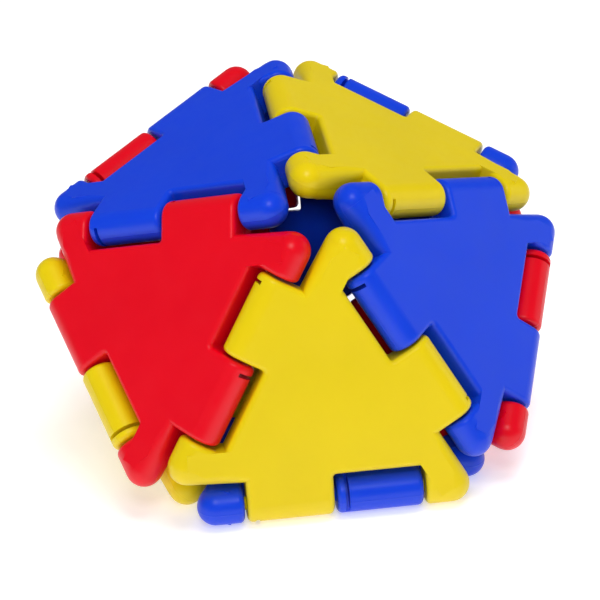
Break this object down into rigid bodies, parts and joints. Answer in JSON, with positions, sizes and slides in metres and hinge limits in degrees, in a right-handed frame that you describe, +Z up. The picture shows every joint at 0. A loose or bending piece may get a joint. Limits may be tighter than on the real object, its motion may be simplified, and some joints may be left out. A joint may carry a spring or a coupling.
{
  "type": "hinged polyhedron puzzle",
  "caption": "Closed ball of snap-together triangular plastic panels, hinged edge to edge by round fingers and notches; it opens out into a flat star-shaped net.",
  "frame": {"origin": "bottom centre of the closed ball's bounding box, on the surface it stands on", "axes": "+Z up, square to the outer face of the bottom panel; X along that panel's front hinge line; the top corner leans towards -Y"},
  "size_m": [0.0818, 0.0642, 0.0516],
  "materials": {
    "yellow_plastic": "satin moulded, lightly polished",
    "red_plastic": "satin moulded, lightly polished",
    "blue_plastic": "satin moulded, lightly polished"
  },
  "bodies": {
    "lower_panel_1_blue": {"lower_panel_1_blue": "blue_plastic"},
    "lower_panel_2_yellow": {"lower_panel_2_yellow": "yellow_plastic"},
    "lower_panel_3_red": {"lower_panel_3_red": "red_plastic"},
    "lower_panel_4_blue": {"lower_panel_4_blue": "blue_plastic"},
    "lower_panel_5_red": {"lower_panel_5_red": "red_plastic"},
    "upper_panel_1_yellow": {"upper_panel_1_yellow": "yellow_plastic"},
    "upper_panel_2_red": {"upper_panel_2_red": "red_plastic"},
    "upper_panel_3_blue": {"upper_panel_3_blue": "blue_plastic"},
    "upper_panel_4_yellow": {"upper_panel_4_yellow": "yellow_plastic"},
    "upper_panel_5_blue": {"upper_panel_5_blue": "blue_plastic"}
  },
  "joints": [
    {"name": "ring_hinge_1_2", "type": "hinge", "parent": "lower_panel_1_blue", "child": "lower_panel_2_yellow", "pos_m": [-0.0125, -0.00748, 0.00282], "axis": [-0.5, -0.866, 0], "range_deg": [0, 41.81]},
    {"name": "ring_hinge_2_3", "type": "hinge", "parent": "lower_panel_2_yellow", "child": "lower_panel_3_red", "pos_m": [-0.02023, 0.01141, 0.01725], "axis": [-0.809, -0.1103, 0.5774], "range_deg": [0, 41.81]},
    {"name": "ring_hinge_1_5", "type": "hinge", "parent": "lower_panel_1_blue", "child": "lower_panel_5_red", "pos_m": [0.0125, -0.00748, 0.00282], "axis": [-0.5, 0.866, 0], "range_deg": [0, 41.81]},
    {"name": "ring_hinge_5_4", "type": "hinge", "parent": "lower_panel_5_red", "child": "lower_panel_4_blue", "pos_m": [0.02023, 0.01141, 0.01725], "axis": [-0.809, 0.1103, -0.5774], "range_deg": [0, 41.81]},
    {"name": "waist_hinge_1", "type": "hinge", "parent": "lower_panel_1_blue", "child": "upper_panel_1_yellow", "pos_m": [0, -0.02913, 0.00282], "axis": [1, 0, 0], "range_deg": [0, 105.25]},
    {"name": "waist_hinge_2", "type": "hinge", "parent": "lower_panel_2_yellow", "child": "upper_panel_2_red", "pos_m": [-0.03273, -0.01024, 0.01725], "axis": [0.309, -0.7558, -0.5774], "range_deg": [0, 105.25]},
    {"name": "waist_hinge_3", "type": "hinge", "parent": "lower_panel_3_red", "child": "upper_panel_3_blue", "pos_m": [-0.02023, 0.02033, 0.04061], "axis": [-0.809, -0.4671, -0.3568], "range_deg": [0, 105.25]},
    {"name": "waist_hinge_4", "type": "hinge", "parent": "lower_panel_4_blue", "child": "upper_panel_4_yellow", "pos_m": [0.02023, 0.02033, 0.04061], "axis": [-0.809, 0.4671, 0.3568], "range_deg": [0, 105.25]},
    {"name": "waist_hinge_5", "type": "hinge", "parent": "lower_panel_5_red", "child": "upper_panel_5_blue", "pos_m": [0.03273, -0.01024, 0.01725], "axis": [0.309, 0.7558, 0.5774], "range_deg": [0, 105.25]}
  ],
  "couplings": [
    {"joint": "ring_hinge_2_3", "follows": "ring_hinge_1_2", "ratio": 1},
    {"joint": "ring_hinge_1_5", "follows": "ring_hinge_1_2", "ratio": 1},
    {"joint": "ring_hinge_5_4", "follows": "ring_hinge_1_2", "ratio": 1}
  ]
}
